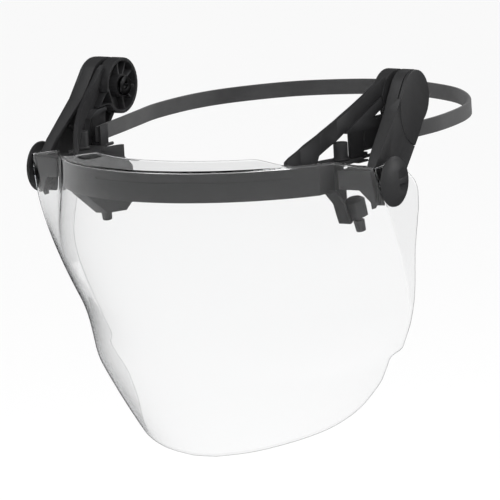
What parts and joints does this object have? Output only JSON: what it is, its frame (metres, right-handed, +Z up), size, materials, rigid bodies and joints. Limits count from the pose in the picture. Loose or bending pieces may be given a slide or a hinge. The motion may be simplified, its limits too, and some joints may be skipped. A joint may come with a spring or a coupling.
{
  "type": "face shield",
  "caption": "Clear wraparound face shield on a helmet carrier: curved visor on two swing-up arms with side knobs, brow band, side brackets and rear strap.",
  "frame": {"origin": "midpoint of the visor's swing axis, between the two pivots", "axes": "+X to the wearer's left along the swing axis, -Y to the front, +Z up"},
  "size_m": [0.2988, 0.3217, 0.2613],
  "materials": {
    "charcoal": "satin moulded nylon",
    "charcoal_dark": "matt moulded nylon",
    "strap_rubber": "matt silicone rubber",
    "clear_lens": "polished clear polycarbonate",
    "steel": "zinc plated"
  },
  "bodies": {
    "carrier": {"brow_frame": "charcoal", "rear_strap": "strap_rubber", "left_bracket": "charcoal_dark", "right_bracket": "charcoal_dark", "left_post": "charcoal", "right_post": "charcoal", "left_pivot_pin": "steel", "right_pivot_pin": "steel", "left_pivot_washer": "charcoal_dark", "right_pivot_washer": "charcoal_dark", "left_pivot_screw": "steel", "right_pivot_screw": "steel", "left_plug": "charcoal_dark", "right_plug": "charcoal_dark", "left_strap_anchor": "charcoal_dark", "right_strap_anchor": "charcoal_dark", "left_strap_peg": "charcoal", "right_strap_peg": "charcoal"},
    "visor": {"visor_lens": "clear_lens", "left_arm": "charcoal", "right_arm": "charcoal", "left_arm_cap": "charcoal", "right_arm_cap": "charcoal", "left_cheek_housing": "charcoal", "right_cheek_housing": "charcoal", "left_knob_stud": "steel", "right_knob_stud": "steel", "left_knob_washer": "charcoal_dark", "right_knob_washer": "charcoal_dark"},
    "left_knob": {"left_knob": "charcoal"},
    "left_clamp_nut": {"left_clamp_nut": "charcoal"},
    "right_knob": {"right_knob": "charcoal"},
    "right_clamp_nut": {"right_clamp_nut": "charcoal"}
  },
  "joints": [
    {"name": "visor_flip", "type": "hinge", "parent": "carrier", "child": "visor", "pos_m": [0, 0, 0], "axis": [-1, 0, 0], "range_deg": [0, 95]},
    {"name": "left_knob_turn", "type": "hinge", "parent": "visor", "child": "left_knob", "pos_m": [0.147, -0.0535, -0.0497], "axis": [1, 0, 0], "range_deg": [0, 90]},
    {"name": "left_clamp_nut_turn", "type": "hinge", "parent": "carrier", "child": "left_clamp_nut", "pos_m": [0.10361, -0.03929, -0.07072], "axis": [-0.0544, -0.1976, 0.9788], "range_deg": [0, 180]},
    {"name": "right_knob_turn", "type": "hinge", "parent": "visor", "child": "right_knob", "pos_m": [-0.147, -0.0535, -0.0497], "axis": [-1, 0, 0], "range_deg": [0, 90]},
    {"name": "right_clamp_nut_turn", "type": "hinge", "parent": "carrier", "child": "right_clamp_nut", "pos_m": [-0.10361, -0.03929, -0.07072], "axis": [0.0544, -0.1976, 0.9788], "range_deg": [0, 180]}
  ]
}
